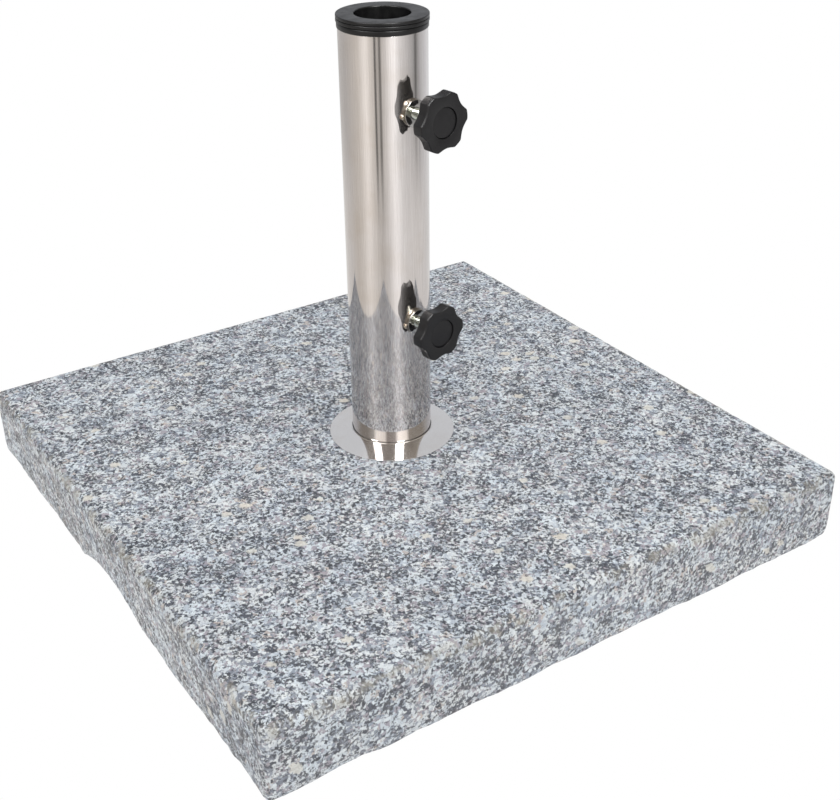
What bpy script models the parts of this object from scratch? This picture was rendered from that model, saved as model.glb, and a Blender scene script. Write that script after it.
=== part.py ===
"""Parasol base: a square granite slab, a steel tube bolted through its middle, and two clamp screws.

Metres, +Z up. The origin is on the ground, under the middle of the slab, on the tube's axis.
The front of the slab faces -Y. The hand grips are in the -X and +X sides.
"""

import math

import bmesh
import bpy
from mathutils import Matrix, Vector

MM = 0.001
GAP = 0.3 * MM  # between pieces that touch
CUT_OVER = 5 * MM  # how far a cutter runs past the face it opens

# Rubber pads under the slab
PAD_RADIUS = 18 * MM
PAD_HEIGHT = 3 * MM
PAD_FROM_MIDDLE = 205 * MM

# Granite slab
SLAB_SIDE = 500 * MM
SLAB_THICKNESS = 60 * MM
SLAB_BOTTOM = PAD_HEIGHT + GAP
SLAB_TOP = SLAB_BOTTOM + SLAB_THICKNESS
SLAB_ARRIS = 6 * MM
SLAB_LOWER_CHAMFER = 1.5 * MM
SLAB_ARRIS_STEPS = 5

# Hand grips: an arched scoop in the lower edge of two opposite sides
GRIP_WIDTH = 125 * MM
GRIP_HEIGHT = 17 * MM
GRIP_DEPTH = 28 * MM
GRIP_END_ROUNDING = 9 * MM
GRIP_SEGMENTS = 160

# Anchor bolt (M12) and the recess it sits in
BOLT_RADIUS = 6 * MM
BOLT_HOLE_RADIUS = 7 * MM
BOLT_HEAD_FLATS = 18 * MM
BOLT_HEAD_THICKNESS = 7.5 * MM
RECESS_RADIUS = 23 * MM
RECESS_DEPTH = 20 * MM
WASHER_RADIUS = 18.5 * MM
WASHER_THICKNESS = 3 * MM
SPRING_WASHER_RADIUS = 10.5 * MM
SPRING_WASHER_THICKNESS = 2.5 * MM
SPRING_WASHER_SLIT = 2 * MM

# Stand tube
TUBE_RADIUS = 31.75 * MM
TUBE_WALL = 1.5 * MM
TUBE_INNER_RADIUS = TUBE_RADIUS - TUBE_WALL
TUBE_HEIGHT = 326 * MM
TUBE_BOTTOM = SLAB_TOP + GAP
TUBE_TOP = SLAB_TOP + TUBE_HEIGHT
TUBE_EDGE = 0.4 * MM
TUBE_SEGMENTS = 96

# Plug welded into the tube's lower end
PLUG_RADIUS = TUBE_INNER_RADIUS - 0.25 * MM
PLUG_THICKNESS = 10 * MM
PLUG_HOLE_RADIUS = BOLT_RADIUS + 0.25 * MM
BOLT_END_BELOW_PLUG_TOP = 1.2 * MM

# Rosette that covers the joint between the tube and the slab
ROSETTE_RADIUS = 50.5 * MM
ROSETTE_HOLE_RADIUS = 32.7 * MM
ROSETTE_SHEET = 1.1 * MM
ROSETTE_RISE = 4.9 * MM
ROSETTE_LIP_RADIUS = 34.6 * MM
ROSETTE_SEGMENTS = 84

# Three nested reducer sleeves, each with its own flange
SLEEVE_LENGTH = 40 * MM
SLEEVE_SEGMENTS = 72
SLEEVE_PLAY = 0.3 * MM
OUTER_SLEEVE_RADIUS = TUBE_INNER_RADIUS - SLEEVE_PLAY
MIDDLE_SLEEVE_RADIUS = 26.7 * MM
INNER_SLEEVE_RADIUS = 23.4 * MM
POLE_BORE_RADIUS = 20 * MM
OUTER_FLANGE = 3.7 * MM
MIDDLE_FLANGE = 2.4 * MM
INNER_FLANGE = 2.3 * MM
OUTER_FLANGE_RADIUS = 32.3 * MM
UPPER_FLANGE_RADIUS = 32.8 * MM

# Clamp screws (M8 x 1.25): heights above the slab's top face, and the way both point
SCREW_DIRECTION = math.radians(-82.5)
UPPER_SCREW_HEIGHT = SLAB_TOP + 271.7 * MM
LOWER_SCREW_HEIGHT = SLAB_TOP + 110.2 * MM
SCREW_RADIUS = 4 * MM
SCREW_HEAD_FLATS = 13 * MM
SCREW_HEAD_THICKNESS = 5.3 * MM
SCREW_TIP_RADIUS = 2.5 * MM
SCREW_TIP_LENGTH = 3 * MM
SCREW_LENGTH_TO_FACE = 38.7 * MM  # from the shoulder behind the tip to the knob's front face
UPPER_FACE_DISTANCE = 64.8 * MM  # knob's front face to the tube's axis
LOWER_FACE_DISTANCE = 62 * MM

# Pressure pad that swivels on the tip of each screw
PRESSURE_PAD_RADIUS = 6 * MM
PRESSURE_PAD_THICKNESS = 5 * MM
PRESSURE_PAD_EDGE = 0.8 * MM

# Threaded boss welded to the tube
BOSS_RADIUS = 9.75 * MM
BOSS_FACE_DISTANCE = 34.6 * MM
BOSS_HOLE_RADIUS = SCREW_RADIUS + 0.3 * MM
BOSS_RIM = 0.8 * MM
TUBE_HOLE_RADIUS = 5 * MM
WELD_TACK_RADIUS = 2.1 * MM
WELD_TACK_ANGLES = (128, 188, 308, 8)

# Star knob
KNOB_RADIUS = 21.4 * MM
KNOB_LOBES = 6
KNOB_SCALLOP_DEPTH = 2.5 * MM
KNOB_SCALLOP_HALF_WIDTH = 0.36  # radians
KNOB_THICKNESS = 9 * MM
KNOB_FRONT_ROUNDING = 1.2 * MM
KNOB_BACK_ROUNDING = 1 * MM
KNOB_HUB_RADIUS = 8.5 * MM
KNOB_HUB_LENGTH = 2.5 * MM
KNOB_HOLE_RADIUS = SCREW_RADIUS + 0.3 * MM
KNOB_SEGMENTS = 90
CAP_RECESS_RADIUS = 11.1 * MM
CAP_RECESS_DEPTH = 2.6 * MM
CAP_RADIUS = 10.6 * MM
CAP_THICKNESS = 1.4 * MM
CAP_SET_BACK = 0.9 * MM
UPPER_SCALLOP_ANGLE = math.radians(35.5)
LOWER_SCALLOP_ANGLE = math.radians(34)

# colour, roughness, metallic
GRANITE = ((0.50, 0.52, 0.56, 1), 0.55, 0.0)
STAINLESS = ((0.62, 0.60, 0.57, 1), 0.28, 1.0)
POLISHED = ((0.68, 0.67, 0.66, 1), 0.12, 1.0)
ZINC = ((0.66, 0.68, 0.64, 1), 0.3, 1.0)
MILD_STEEL = ((0.36, 0.35, 0.34, 1), 0.45, 1.0)
BLACK_SLEEVE = ((0.012, 0.012, 0.013, 1), 0.42, 0.0)
BLACK_KNOB = ((0.02, 0.02, 0.023, 1), 0.5, 0.0)
WHITE_NYLON = ((0.72, 0.71, 0.67, 1), 0.45, 0.0)
RUBBER = ((0.03, 0.03, 0.03, 1), 0.8, 0.0)


def clear_scene():
    for old in list(bpy.data.objects):
        bpy.data.objects.remove(old, do_unlink=True)


def paint(obj, look):
    """Give the object its own material from a look: colour, roughness, metallic."""
    colour, roughness, metallic = look
    material = bpy.data.materials.new(obj.name)
    material.use_nodes = True
    shader = material.node_tree.nodes["Principled BSDF"]
    shader.inputs["Base Color"].default_value = colour
    shader.inputs["Roughness"].default_value = roughness
    shader.inputs["Metallic"].default_value = metallic
    material.diffuse_color = colour
    obj.data.materials.append(material)


def circle(radius):
    """Outline of a circle."""

    def at(angle):
        return radius

    return at


def hexagon(across_flats):
    """Outline of a hexagon with a flat side at angle 0."""

    def at(angle):
        off = (angle + math.pi / 6) % (math.pi / 3) - math.pi / 6
        return across_flats / 2 / math.cos(off)

    return at


def scalloped(radius, scallop_angle):
    """Outline of the star knob: round lobes with shallow finger scallops between them."""
    pitch = math.tau / KNOB_LOBES

    def at(angle):
        off = (angle - scallop_angle + pitch / 2) % pitch - pitch / 2
        return radius - KNOB_SCALLOP_DEPTH * max(0, 1 - (off / KNOB_SCALLOP_HALF_WIDTH) ** 2)

    return at


def ring_points(outline, inset, height, segments):
    """Points of one horizontal ring: the outline moved in by inset, at this height."""
    points = []
    for i in range(segments):
        angle = math.tau * i / segments
        reach = outline(angle) - inset
        points.append((reach * math.cos(angle), reach * math.sin(angle), height))
    return points


def skin_rings(rings, closed):
    """Mesh through rings of equal point count: a closed loop of rings, or a stack with filled ends."""
    form = bmesh.new()
    levels = [[form.verts.new(point) for point in ring] for ring in rings]
    count = len(levels[0])
    pairs = list(zip(levels, levels[1:]))
    if closed:
        pairs.append((levels[-1], levels[0]))
    for lower, upper in pairs:
        for i in range(count):
            after = (i + 1) % count
            form.faces.new((lower[i], lower[after], upper[after], upper[i]))
    if not closed:
        form.faces.new(list(reversed(levels[0])))
        form.faces.new(levels[-1])
    bmesh.ops.recalc_face_normals(form, faces=form.faces)
    return form


def add_object(name, form, look=None, smooth=True):
    """Turn a bmesh into an object of the scene, shaded smooth with sharp edges kept."""
    mesh = bpy.data.meshes.new(name)
    form.to_mesh(mesh)
    form.free()
    obj = bpy.data.objects.new(name, mesh)
    bpy.context.scene.collection.objects.link(obj)
    if smooth:
        mesh.shade_smooth()
        mesh.set_sharp_from_angle(angle=math.radians(32))
    if look:
        paint(obj, look)
    return obj


def turned(name, profile, segments, look=None, closed=True):
    """Piece turned about its own Z axis from (radius, height) points."""
    rings = [ring_points(circle(radius), 0, height, segments) for radius, height in profile]
    return add_object(name, skin_rings(rings, closed), look)


def cutter(name, form):
    """Helper solid for a Boolean: shown as wire, left out of renders."""
    obj = add_object(name, form, smooth=False)
    obj.display_type = "WIRE"
    obj.hide_render = True
    return obj


def rod_cutter(name, radius, low, high, segments=48):
    rings = [ring_points(circle(radius), 0, height, segments) for height in (low, high)]
    return cutter(name, skin_rings(rings, closed=False))


def combine(target, other, operation="DIFFERENCE"):
    step = target.modifiers.new(other.name, "BOOLEAN")
    step.operation = operation
    step.solver = "EXACT"
    step.object = other


def point_along_screw(obj, height):
    """Turn a piece built about +Z so that its axis is a clamp screw's, measured from the tube's axis."""
    obj.location = (0, 0, height)
    obj.rotation_euler = (0, math.pi / 2, SCREW_DIRECTION)


def screw_side(angle):
    """Local angle of a screw piece for an angle counted from the tube's right-hand side, upwards."""
    return angle + math.pi / 2


# Slab and what holds the tube to it


def rounded_square_ring(half_side, corner_radius, inset, height):
    """Points of a square ring with rounded corners, moved in by inset."""
    points = []
    middle = half_side - corner_radius
    radius = corner_radius - inset
    for quarter in range(4):
        start = quarter * math.pi / 2
        corner = Matrix.Rotation(start, 2) @ Vector((middle, middle))
        for i in range(SLAB_ARRIS_STEPS + 1):
            angle = start + math.pi / 2 * i / SLAB_ARRIS_STEPS
            points.append((corner.x + radius * math.cos(angle), corner.y + radius * math.sin(angle), height))
    return points


def grip_cutter(name, side):
    """Arched scoop cut into the lower edge of the side that faces side * X, round at its inner end."""
    rise = GRIP_HEIGHT
    arch_radius = (GRIP_WIDTH ** 2 / 4 + rise ** 2) / (2 * rise)
    centre_height = SLAB_BOTTOM + rise - arch_radius
    face = SLAB_SIDE / 2
    rings = []
    rings.append((0.0, face + CUT_OVER))
    rings.append((0.0, face - GRIP_DEPTH + GRIP_END_ROUNDING))
    for i in range(1, 5):
        angle = math.pi / 2 * i / 5
        inset = GRIP_END_ROUNDING * (1 - math.cos(angle))
        rings.append((inset, face - GRIP_DEPTH + GRIP_END_ROUNDING * (1 - math.sin(angle))))
    points = [ring_points(circle(arch_radius), inset, reach, GRIP_SEGMENTS) for inset, reach in rings]
    obj = cutter(name, skin_rings(points, closed=False))
    obj.location = (0, 0, centre_height)
    obj.rotation_euler = (0, side * math.pi / 2, 0)
    return obj


def granite_slab():
    half = SLAB_SIDE / 2
    rings = [
        rounded_square_ring(half, SLAB_ARRIS, SLAB_LOWER_CHAMFER, SLAB_BOTTOM),
        rounded_square_ring(half, SLAB_ARRIS, 0, SLAB_BOTTOM + SLAB_LOWER_CHAMFER),
    ]
    for i in range(SLAB_ARRIS_STEPS):
        angle = math.pi / 2 * i / SLAB_ARRIS_STEPS
        inset = SLAB_ARRIS * (1 - math.cos(angle))
        height = SLAB_TOP - SLAB_ARRIS * (1 - math.sin(angle))
        rings.append(rounded_square_ring(half, SLAB_ARRIS, inset, height))
    nearly_all = SLAB_ARRIS * 0.95
    rings.append(rounded_square_ring(half, SLAB_ARRIS, nearly_all, SLAB_TOP))
    slab = add_object("granite_slab", skin_rings(rings, closed=False), GRANITE)
    recess_top = SLAB_BOTTOM + RECESS_DEPTH
    combine(slab, rod_cutter("recess_cutter", RECESS_RADIUS, SLAB_BOTTOM - CUT_OVER, recess_top, 64))
    combine(slab, rod_cutter("hole_cutter", BOLT_HOLE_RADIUS, SLAB_BOTTOM, SLAB_TOP + CUT_OVER))
    combine(slab, grip_cutter("left_grip_cutter", -1))
    combine(slab, grip_cutter("right_grip_cutter", 1))


def rubber_pad(name, x, y):
    edge = 0.8 * MM
    profile = [
        (PAD_RADIUS - edge, 0),
        (PAD_RADIUS, edge),
        (PAD_RADIUS, PAD_HEIGHT - edge / 2),
        (PAD_RADIUS - edge / 2, PAD_HEIGHT),
    ]
    pad = turned(name, profile, 48, RUBBER, closed=False)
    pad.location = (x, y, 0)


def rubber_pads():
    for front_name, y in (("front", -PAD_FROM_MIDDLE), ("back", PAD_FROM_MIDDLE)):
        for side_name, x in (("left", -PAD_FROM_MIDDLE), ("right", PAD_FROM_MIDDLE)):
            rubber_pad(f"rubber_pad_{front_name}_{side_name}", x, y)


def anchor_washer(top):
    edge = 0.4 * MM
    inner = BOLT_RADIUS + 0.5 * MM
    bottom = top - WASHER_THICKNESS
    profile = [
        (inner, bottom),
        (WASHER_RADIUS - edge, bottom),
        (WASHER_RADIUS, bottom + edge),
        (WASHER_RADIUS, top - edge),
        (WASHER_RADIUS - edge, top),
        (inner, top),
    ]
    turned("anchor_washer", profile, 48, ZINC)


def spring_washer(top):
    inner = BOLT_RADIUS + 0.3 * MM
    bottom = top - SPRING_WASHER_THICKNESS
    profile = [
        (inner, bottom),
        (SPRING_WASHER_RADIUS, bottom),
        (SPRING_WASHER_RADIUS, top),
        (inner, top),
    ]
    washer = turned("spring_washer", profile, 48, ZINC)
    form = bmesh.new()
    size = Vector((2 * SPRING_WASHER_RADIUS, SPRING_WASHER_SLIT, 4 * SPRING_WASHER_THICKNESS))
    bmesh.ops.create_cube(form, size=1, matrix=Matrix.Diagonal(size.to_4d()))
    slit = cutter("slit_cutter", form)
    slit.location = (SPRING_WASHER_RADIUS, 0, (top + bottom) / 2)
    slit.rotation_euler = (math.radians(20), 0, 0)
    combine(washer, slit)


def anchor_bolt(head_top):
    """Hexagon bolt that comes up through the slab into the tube's plug."""
    segments = 48
    head_bottom = head_top - BOLT_HEAD_THICKNESS
    head = hexagon(BOLT_HEAD_FLATS)
    end = TUBE_BOTTOM + PLUG_THICKNESS - BOLT_END_BELOW_PLUG_TOP
    tip = 1 * MM
    rings = [
        ring_points(circle(BOLT_HEAD_FLATS / 2 - 0.4 * MM), 0, head_bottom, segments),
        ring_points(head, 0, head_bottom + 1 * MM, segments),
        ring_points(head, 0, head_top, segments),
        ring_points(circle(BOLT_RADIUS), 0, head_top, segments),
        ring_points(circle(BOLT_RADIUS), 0, end - tip, segments),
        ring_points(circle(BOLT_RADIUS - tip), 0, end, segments),
    ]
    add_object("anchor_bolt", skin_rings(rings, closed=False), ZINC)


def anchor():
    washer_top = SLAB_BOTTOM + RECESS_DEPTH - GAP
    anchor_washer(washer_top)
    spring_top = washer_top - WASHER_THICKNESS - GAP
    spring_washer(spring_top)
    anchor_bolt(spring_top - SPRING_WASHER_THICKNESS - GAP)


# Tube, plug and rosette


def stand_tube():
    profile = [
        (TUBE_INNER_RADIUS, TUBE_BOTTOM),
        (TUBE_RADIUS, TUBE_BOTTOM),
        (TUBE_RADIUS, TUBE_TOP - TUBE_EDGE),
        (TUBE_RADIUS - TUBE_EDGE, TUBE_TOP),
        (TUBE_INNER_RADIUS + TUBE_EDGE, TUBE_TOP),
        (TUBE_INNER_RADIUS, TUBE_TOP - TUBE_EDGE),
    ]
    tube = turned("stand_tube", profile, TUBE_SEGMENTS, STAINLESS)
    for name, height in (("upper", UPPER_SCREW_HEIGHT), ("lower", LOWER_SCREW_HEIGHT)):
        hole = rod_cutter(f"{name}_hole_cutter", TUBE_HOLE_RADIUS, TUBE_INNER_RADIUS / 2, 2 * TUBE_RADIUS, 32)
        point_along_screw(hole, height)
        combine(tube, hole)


def tube_end_plug():
    edge = 1 * MM
    top = TUBE_BOTTOM + PLUG_THICKNESS
    profile = [
        (PLUG_HOLE_RADIUS, TUBE_BOTTOM),
        (PLUG_RADIUS - edge, TUBE_BOTTOM),
        (PLUG_RADIUS, TUBE_BOTTOM + edge),
        (PLUG_RADIUS, top - edge),
        (PLUG_RADIUS - edge, top),
        (PLUG_HOLE_RADIUS + edge / 2, top),
        (PLUG_HOLE_RADIUS, top - edge / 2),
    ]
    turned("tube_end_plug", profile, 64, MILD_STEEL)


def rosette():
    """Shallow cone of sheet steel with a small turned-up lip round the tube."""
    base = SLAB_TOP + GAP
    edge = 0.9 * MM
    shoulder = base + ROSETTE_RISE
    under = shoulder - ROSETTE_SHEET
    slope = (ROSETTE_RISE - edge) / (ROSETTE_RADIUS - ROSETTE_LIP_RADIUS)
    foot_radius = ROSETTE_LIP_RADIUS + (under - base) / slope
    profile = [
        (foot_radius, base),
        (ROSETTE_RADIUS - 0.2 * MM, base),
        (ROSETTE_RADIUS, base + 0.3 * MM),
        (ROSETTE_RADIUS - 0.1 * MM, base + edge),
        (ROSETTE_LIP_RADIUS, shoulder),
        (ROSETTE_LIP_RADIUS - 0.4 * MM, shoulder + 0.3 * MM),
        (ROSETTE_LIP_RADIUS - 0.7 * MM, shoulder + 0.8 * MM),
        (ROSETTE_LIP_RADIUS - 1.2 * MM, shoulder + 1.0 * MM),
        (ROSETTE_HOLE_RADIUS + 0.2 * MM, shoulder + 0.8 * MM),
        (ROSETTE_HOLE_RADIUS, shoulder + 0.3 * MM),
        (ROSETTE_HOLE_RADIUS, under),
        (ROSETTE_LIP_RADIUS, under),
    ]
    turned("rosette", profile, ROSETTE_SEGMENTS, POLISHED)


# Reducer sleeves


def reducer_sleeve(name, body_radius, bore_radius, flange_bottom, flange, flange_radius, rounding):
    """Plastic sleeve with a flange on top, a chamfered mouth and a chamfered lower end."""
    top = flange_bottom + flange
    bottom = flange_bottom - SLEEVE_LENGTH
    mouth = 0.9 * MM
    chamfer = 1 * MM
    profile = [
        (bore_radius, bottom),
        (body_radius - chamfer, bottom),
        (body_radius, bottom + 2 * chamfer),
        (body_radius, flange_bottom),
        (flange_radius - rounding / 2, flange_bottom),
        (flange_radius, flange_bottom + rounding / 2),
        (flange_radius, top - rounding),
        (flange_radius - 0.3 * rounding, top - 0.3 * rounding),
        (flange_radius - rounding, top),
        (bore_radius + mouth, top),
        (bore_radius, top - mouth),
    ]
    turned(name, profile, SLEEVE_SEGMENTS, BLACK_SLEEVE)


def reducer_sleeves():
    outer_bottom = TUBE_TOP + GAP
    middle_bottom = outer_bottom + OUTER_FLANGE + GAP
    inner_bottom = middle_bottom + MIDDLE_FLANGE + GAP
    reducer_sleeve(
        "reducer_sleeve_outer",
        OUTER_SLEEVE_RADIUS,
        MIDDLE_SLEEVE_RADIUS + SLEEVE_PLAY,
        outer_bottom,
        OUTER_FLANGE,
        OUTER_FLANGE_RADIUS,
        0.9 * MM,
    )
    reducer_sleeve(
        "reducer_sleeve_middle",
        MIDDLE_SLEEVE_RADIUS,
        INNER_SLEEVE_RADIUS + SLEEVE_PLAY,
        middle_bottom,
        MIDDLE_FLANGE,
        UPPER_FLANGE_RADIUS,
        0.5 * MM,
    )
    reducer_sleeve(
        "reducer_sleeve_inner",
        INNER_SLEEVE_RADIUS,
        POLE_BORE_RADIUS,
        inner_bottom,
        INNER_FLANGE,
        UPPER_FLANGE_RADIUS,
        0.6 * MM,
    )


# Clamp screws: each piece is built about +Z, with heights counted from the tube's axis


def weld_tack_form(angle):
    """Small bead of weld on the rim of a boss."""
    side = screw_side(math.radians(angle))
    form = bmesh.new()
    place = Vector((BOSS_RADIUS * math.cos(side), BOSS_RADIUS * math.sin(side), TUBE_RADIUS))
    shape = Matrix.Diagonal((1.0, 1.0, 0.8, 1.0))
    matrix = Matrix.Translation(place) @ shape
    bmesh.ops.create_uvsphere(form, u_segments=12, v_segments=8, radius=WELD_TACK_RADIUS, matrix=matrix)
    return form


def weld_boss(prefix, height):
    """Round threaded boss on the outside of the tube, held by weld tacks."""
    start = TUBE_RADIUS * 0.9
    profile = [
        (BOSS_HOLE_RADIUS, start),
        (BOSS_RADIUS, start),
        (BOSS_RADIUS, BOSS_FACE_DISTANCE - BOSS_RIM),
        (BOSS_RADIUS - BOSS_RIM, BOSS_FACE_DISTANCE),
        (BOSS_HOLE_RADIUS + BOSS_RIM / 2, BOSS_FACE_DISTANCE),
        (BOSS_HOLE_RADIUS, BOSS_FACE_DISTANCE - BOSS_RIM / 2),
    ]
    boss = turned(f"{prefix}_weld_boss", profile, 48, POLISHED)
    point_along_screw(boss, height)
    for angle in WELD_TACK_ANGLES:
        tack = cutter(f"{prefix}_tack_{angle}", weld_tack_form(angle))
        point_along_screw(tack, height)
        combine(boss, tack, "UNION")
    reach = 3 * BOSS_RADIUS
    saddle = rod_cutter(f"{prefix}_saddle_cutter", TUBE_RADIUS + GAP, height - reach, height + reach, 96)
    combine(boss, saddle)


def clamp_screw(prefix, height, face):
    """Screw with its hexagon head inside the knob and a thin tip inside the pressure pad."""
    segments = 48
    shoulder = face - SCREW_LENGTH_TO_FACE
    tip_end = shoulder - SCREW_TIP_LENGTH
    head_front = face - CAP_RECESS_DEPTH - GAP
    head_back = head_front - SCREW_HEAD_THICKNESS
    head = hexagon(SCREW_HEAD_FLATS)
    edge = 0.5 * MM
    rings = [
        ring_points(circle(SCREW_TIP_RADIUS - edge), 0, tip_end, segments),
        ring_points(circle(SCREW_TIP_RADIUS), 0, tip_end + edge, segments),
        ring_points(circle(SCREW_TIP_RADIUS), 0, shoulder, segments),
        ring_points(circle(SCREW_RADIUS - edge), 0, shoulder, segments),
        ring_points(circle(SCREW_RADIUS), 0, shoulder + edge, segments),
        ring_points(circle(SCREW_RADIUS), 0, head_back, segments),
        ring_points(head, 0, head_back, segments),
        ring_points(head, 0, head_front, segments),
    ]
    screw = add_object(f"{prefix}_clamp_screw", skin_rings(rings, closed=False), ZINC)
    point_along_screw(screw, height)


def pressure_pad(prefix, height, face):
    """Nylon pad with a blind hole for the screw's tip; it presses on the pole without turning."""
    back = face - SCREW_LENGTH_TO_FACE - GAP
    front = back - PRESSURE_PAD_THICKNESS
    hole_end = back - SCREW_TIP_LENGTH - GAP
    hole_radius = SCREW_TIP_RADIUS + 0.25 * MM
    edge = PRESSURE_PAD_EDGE
    profile = [
        (PRESSURE_PAD_RADIUS - edge, front),
        (PRESSURE_PAD_RADIUS, front + edge),
        (PRESSURE_PAD_RADIUS, back - edge),
        (PRESSURE_PAD_RADIUS - edge, back),
        (hole_radius, back),
        (hole_radius, hole_end),
    ]
    pad = turned(f"{prefix}_pressure_pad", profile, 32, WHITE_NYLON, closed=False)
    point_along_screw(pad, height)


def knob(prefix, height, face, scallop_angle):
    """Six-lobed knob with a hub at its back, a hexagon pocket for the screw's head and a cap recess."""
    back = face - KNOB_THICKNESS
    hub_end = back - KNOB_HUB_LENGTH
    recess_floor = face - CAP_RECESS_DEPTH
    pocket_floor = recess_floor - GAP - SCREW_HEAD_THICKNESS - GAP
    star = scalloped(KNOB_RADIUS, screw_side(scallop_angle))
    hub = circle(KNOB_HUB_RADIUS)
    hole = circle(KNOB_HOLE_RADIUS)
    recess = circle(CAP_RECESS_RADIUS)
    pocket = hexagon(SCREW_HEAD_FLATS + 2 * GAP)
    front_step = 0.3 * KNOB_FRONT_ROUNDING
    levels = [
        (hole, 0, hub_end),
        (hub, 0.6 * MM, hub_end),
        (hub, 0, hub_end + 0.6 * MM),
        (hub, 0, back),
        (star, KNOB_BACK_ROUNDING, back),
        (star, 0.3 * KNOB_BACK_ROUNDING, back + 0.3 * KNOB_BACK_ROUNDING),
        (star, 0, back + KNOB_BACK_ROUNDING),
        (star, 0, face - KNOB_FRONT_ROUNDING),
        (star, front_step, face - front_step),
        (star, KNOB_FRONT_ROUNDING, face),
        (recess, 0, face),
        (recess, 0, recess_floor),
        (pocket, 0, recess_floor),
        (pocket, 0, pocket_floor),
        (hole, 0, pocket_floor),
    ]
    rings = [ring_points(outline, inset, level, KNOB_SEGMENTS) for outline, inset, level in levels]
    obj = add_object(f"{prefix}_knob", skin_rings(rings, closed=True), BLACK_KNOB)
    point_along_screw(obj, height)


def knob_cap(prefix, height, face):
    """Disc pressed into the knob's front, a little below its face."""
    edge = 0.4 * MM
    front = face - CAP_SET_BACK
    profile = [
        (CAP_RADIUS, front - CAP_THICKNESS),
        (CAP_RADIUS, front - edge),
        (CAP_RADIUS - edge, front),
    ]
    cap = turned(f"{prefix}_knob_cap", profile, 48, BLACK_KNOB, closed=False)
    point_along_screw(cap, height)


def clamp(prefix, height, face, scallop_angle):
    weld_boss(prefix, height)
    clamp_screw(prefix, height, face)
    pressure_pad(prefix, height, face)
    knob(prefix, height, face, scallop_angle)
    knob_cap(prefix, height, face)


def main():
    clear_scene()
    granite_slab()
    rubber_pads()
    anchor()
    stand_tube()
    tube_end_plug()
    rosette()
    reducer_sleeves()
    clamp("upper", UPPER_SCREW_HEIGHT, UPPER_FACE_DISTANCE, UPPER_SCALLOP_ANGLE)
    clamp("lower", LOWER_SCREW_HEIGHT, LOWER_FACE_DISTANCE, LOWER_SCALLOP_ANGLE)


main()
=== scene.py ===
"""Parasol base: how it looks. Granite slab, polished tube with two clamp screws, and a soft white studio."""

import math

import bmesh
import bpy
from mathutils import Matrix, Vector, noise


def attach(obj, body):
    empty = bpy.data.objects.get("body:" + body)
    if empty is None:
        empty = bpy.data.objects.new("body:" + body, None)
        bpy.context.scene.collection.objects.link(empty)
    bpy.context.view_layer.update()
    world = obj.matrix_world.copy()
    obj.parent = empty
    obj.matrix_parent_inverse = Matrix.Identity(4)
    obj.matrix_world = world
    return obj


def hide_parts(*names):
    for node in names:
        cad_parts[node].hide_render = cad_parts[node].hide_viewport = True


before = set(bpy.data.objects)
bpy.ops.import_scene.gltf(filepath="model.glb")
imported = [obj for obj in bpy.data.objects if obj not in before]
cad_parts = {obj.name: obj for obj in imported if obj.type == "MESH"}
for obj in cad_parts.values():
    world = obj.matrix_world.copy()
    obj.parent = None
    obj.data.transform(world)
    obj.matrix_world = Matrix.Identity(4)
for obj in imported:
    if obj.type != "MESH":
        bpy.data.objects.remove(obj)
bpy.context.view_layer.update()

MM = 0.001
AXIS_GAP = 0.02 * MM  # how near a turned solid's profile comes to its axis

# Sizes shared with the solid model
SLAB_HALF = 250 * MM
SLAB_STEPS = 150  # along each side
CORNER_STEPS = 6
SLAB_BOTTOM = 3.3 * MM
SLAB_TOP = 63.3 * MM
SLAB_ARRIS = 6 * MM
SLAB_LOWER_ARRIS = 2.2 * MM
GRIP_RISE = 17 * MM
GRIP_WIDTH = 125 * MM
GRIP_RADIUS = (GRIP_WIDTH ** 2 / 4 + GRIP_RISE ** 2) / (2 * GRIP_RISE)
GRIP_CENTRE = SLAB_BOTTOM + GRIP_RISE - GRIP_RADIUS
RECESS_RADIUS = 23 * MM
RECESS_DEPTH = 20 * MM
ANCHOR_HOLE_RADIUS = 7 * MM
TUBE_RADIUS = 31.75 * MM
TUBE_INNER_RADIUS = 30.25 * MM
TUBE_BOTTOM = 63.6 * MM
TUBE_TOP = 389.3 * MM
ROSETTE_RADIUS = 50.45 * MM
ROSETTE_BORE = 32.2 * MM
SLEEVE_LENGTH = 40 * MM  # below the flange
SCREW_DIRECTION = math.radians(-82.5)
SCREW_HEIGHTS = {"upper": 335.0 * MM, "lower": 173.5 * MM}
FACE_DISTANCES = {"upper": 64.8 * MM, "lower": 62.0 * MM}
SCALLOP_ANGLES = {"upper": math.radians(35.5), "lower": math.radians(34)}
SCREW_HOLE_RADIUS = 5 * MM
BOSS_RADIUS = 9.75 * MM
BOSS_BORE = 4.3 * MM
BOSS_FACE = 34.6 * MM  # from the tube's axis
BOSS_ROOT = 28 * MM
THREAD_PITCH = 1.25 * MM
THREAD_RADIUS = 4.0 * MM
THREAD_DEPTH = 0.68 * MM
# one turn of thread: (share of the pitch, 1 at the crest and 0 at the root)
THREAD_SHAPE = ((0.0, 1.0), (0.10, 1.0), (0.42, 0.12), (0.50, 0.0), (0.60, 0.0), (0.92, 0.88))
SCREW_REACH = 38.7 * MM  # from the knob's face back to the start of the thread
SCREW_HEAD_THICKNESS = 5.3 * MM
SCREW_HEAD_SET_BACK = 2.9 * MM
SCREW_HEAD_RADIUS = 7.5 * MM  # across corners
SCREW_TIP_RADIUS = 2.5 * MM
KNOB_LOBES = 6
KNOB_SEGMENTS = 480
KNOB_RADIUS = 21.4 * MM
KNOB_SCALLOP_DEPTH = 2.8 * MM
KNOB_SCALLOP_HALF_WIDTH = 0.36  # radians
KNOB_CORNER_SOFTNESS = 0.09
KNOB_THICKNESS = 9 * MM
KNOB_BORE = 4.3 * MM
KNOB_HUB_RADIUS = 8.5 * MM
CAP_RADIUS = 10.65 * MM
CAP_THICKNESS = 1.4 * MM
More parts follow.
